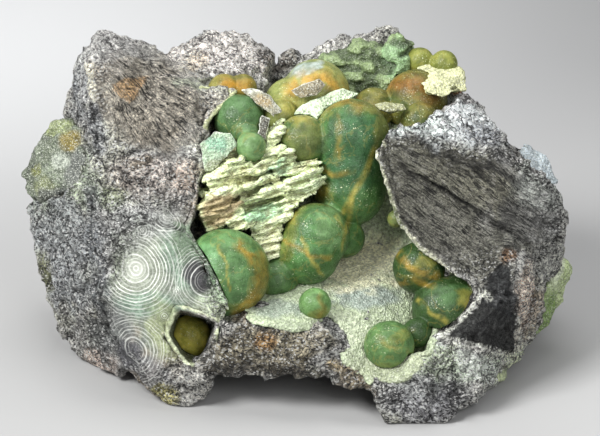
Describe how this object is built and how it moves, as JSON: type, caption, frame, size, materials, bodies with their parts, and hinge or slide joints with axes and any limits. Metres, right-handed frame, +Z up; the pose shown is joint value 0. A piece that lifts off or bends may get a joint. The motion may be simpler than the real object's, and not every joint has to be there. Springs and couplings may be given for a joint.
{
  "type": "wavellite specimen",
  "caption": "Angular block of dark rock with an open druse-lined hollow holding glossy green wavellite balls, pale blades and flakes; stands on its cut base.",
  "frame": {"origin": "centre of the footprint's bounding box, on the surface the specimen stands on", "axes": "+X to the picture viewer's right along the longest side, +Y away from the viewer into the hollow, +Z up"},
  "size_m": [0.1214, 0.0786, 0.0673],
  "materials": {
    "matrix": "rough broken rock, granular, with fine cracks",
    "pale_druse": "fine sparkling crystal crust, pale cream and green-grey",
    "edge_crust": "translucent pale green-grey crust with amber spots",
    "green_ball": "glossy, slightly translucent green with orange-yellow bands",
    "green_druse": "small green crystal ledges, granular",
    "cream_blades": "dull ribbed cream to mint blades",
    "pale_flake": "pale mint and cream broken crust, satin"
  },
  "bodies": {
    "root": {"back_druse": "green_druse", "ball_cluster_right": "green_ball", "ball_column": "green_ball", "ball_front_right": "green_ball", "ball_in_window": "green_ball", "ball_left": "green_ball", "ball_on_floor": "green_ball", "ball_pair_left": "green_ball", "ball_under_slab": "green_ball", "balls_back_left": "green_ball", "balls_back_right": "green_ball", "balls_top_right": "green_ball", "balls_under_mound": "green_ball", "blade_stack": "cream_blades", "crust_left_foot": "edge_crust", "crust_left_shoulder": "edge_crust", "crust_left_wall": "pale_druse", "crust_right_edge": "edge_crust", "crust_right_foot": "edge_crust", "crust_right_upper": "edge_crust", "crust_slab_edge": "pale_druse", "crust_upper_left": "pale_druse", "crust_window": "pale_druse", "flake_cream_ledge": "pale_flake", "flake_dark_left": "pale_flake", "flake_grey_left": "pale_flake", "flake_grey_rim": "pale_flake", "flake_mint_left": "pale_flake", "flake_pale_top": "pale_flake", "flake_yellow_back": "pale_flake", "matrix": "matrix", "vug_crust": "pale_druse"}
  },
  "joints": []
}
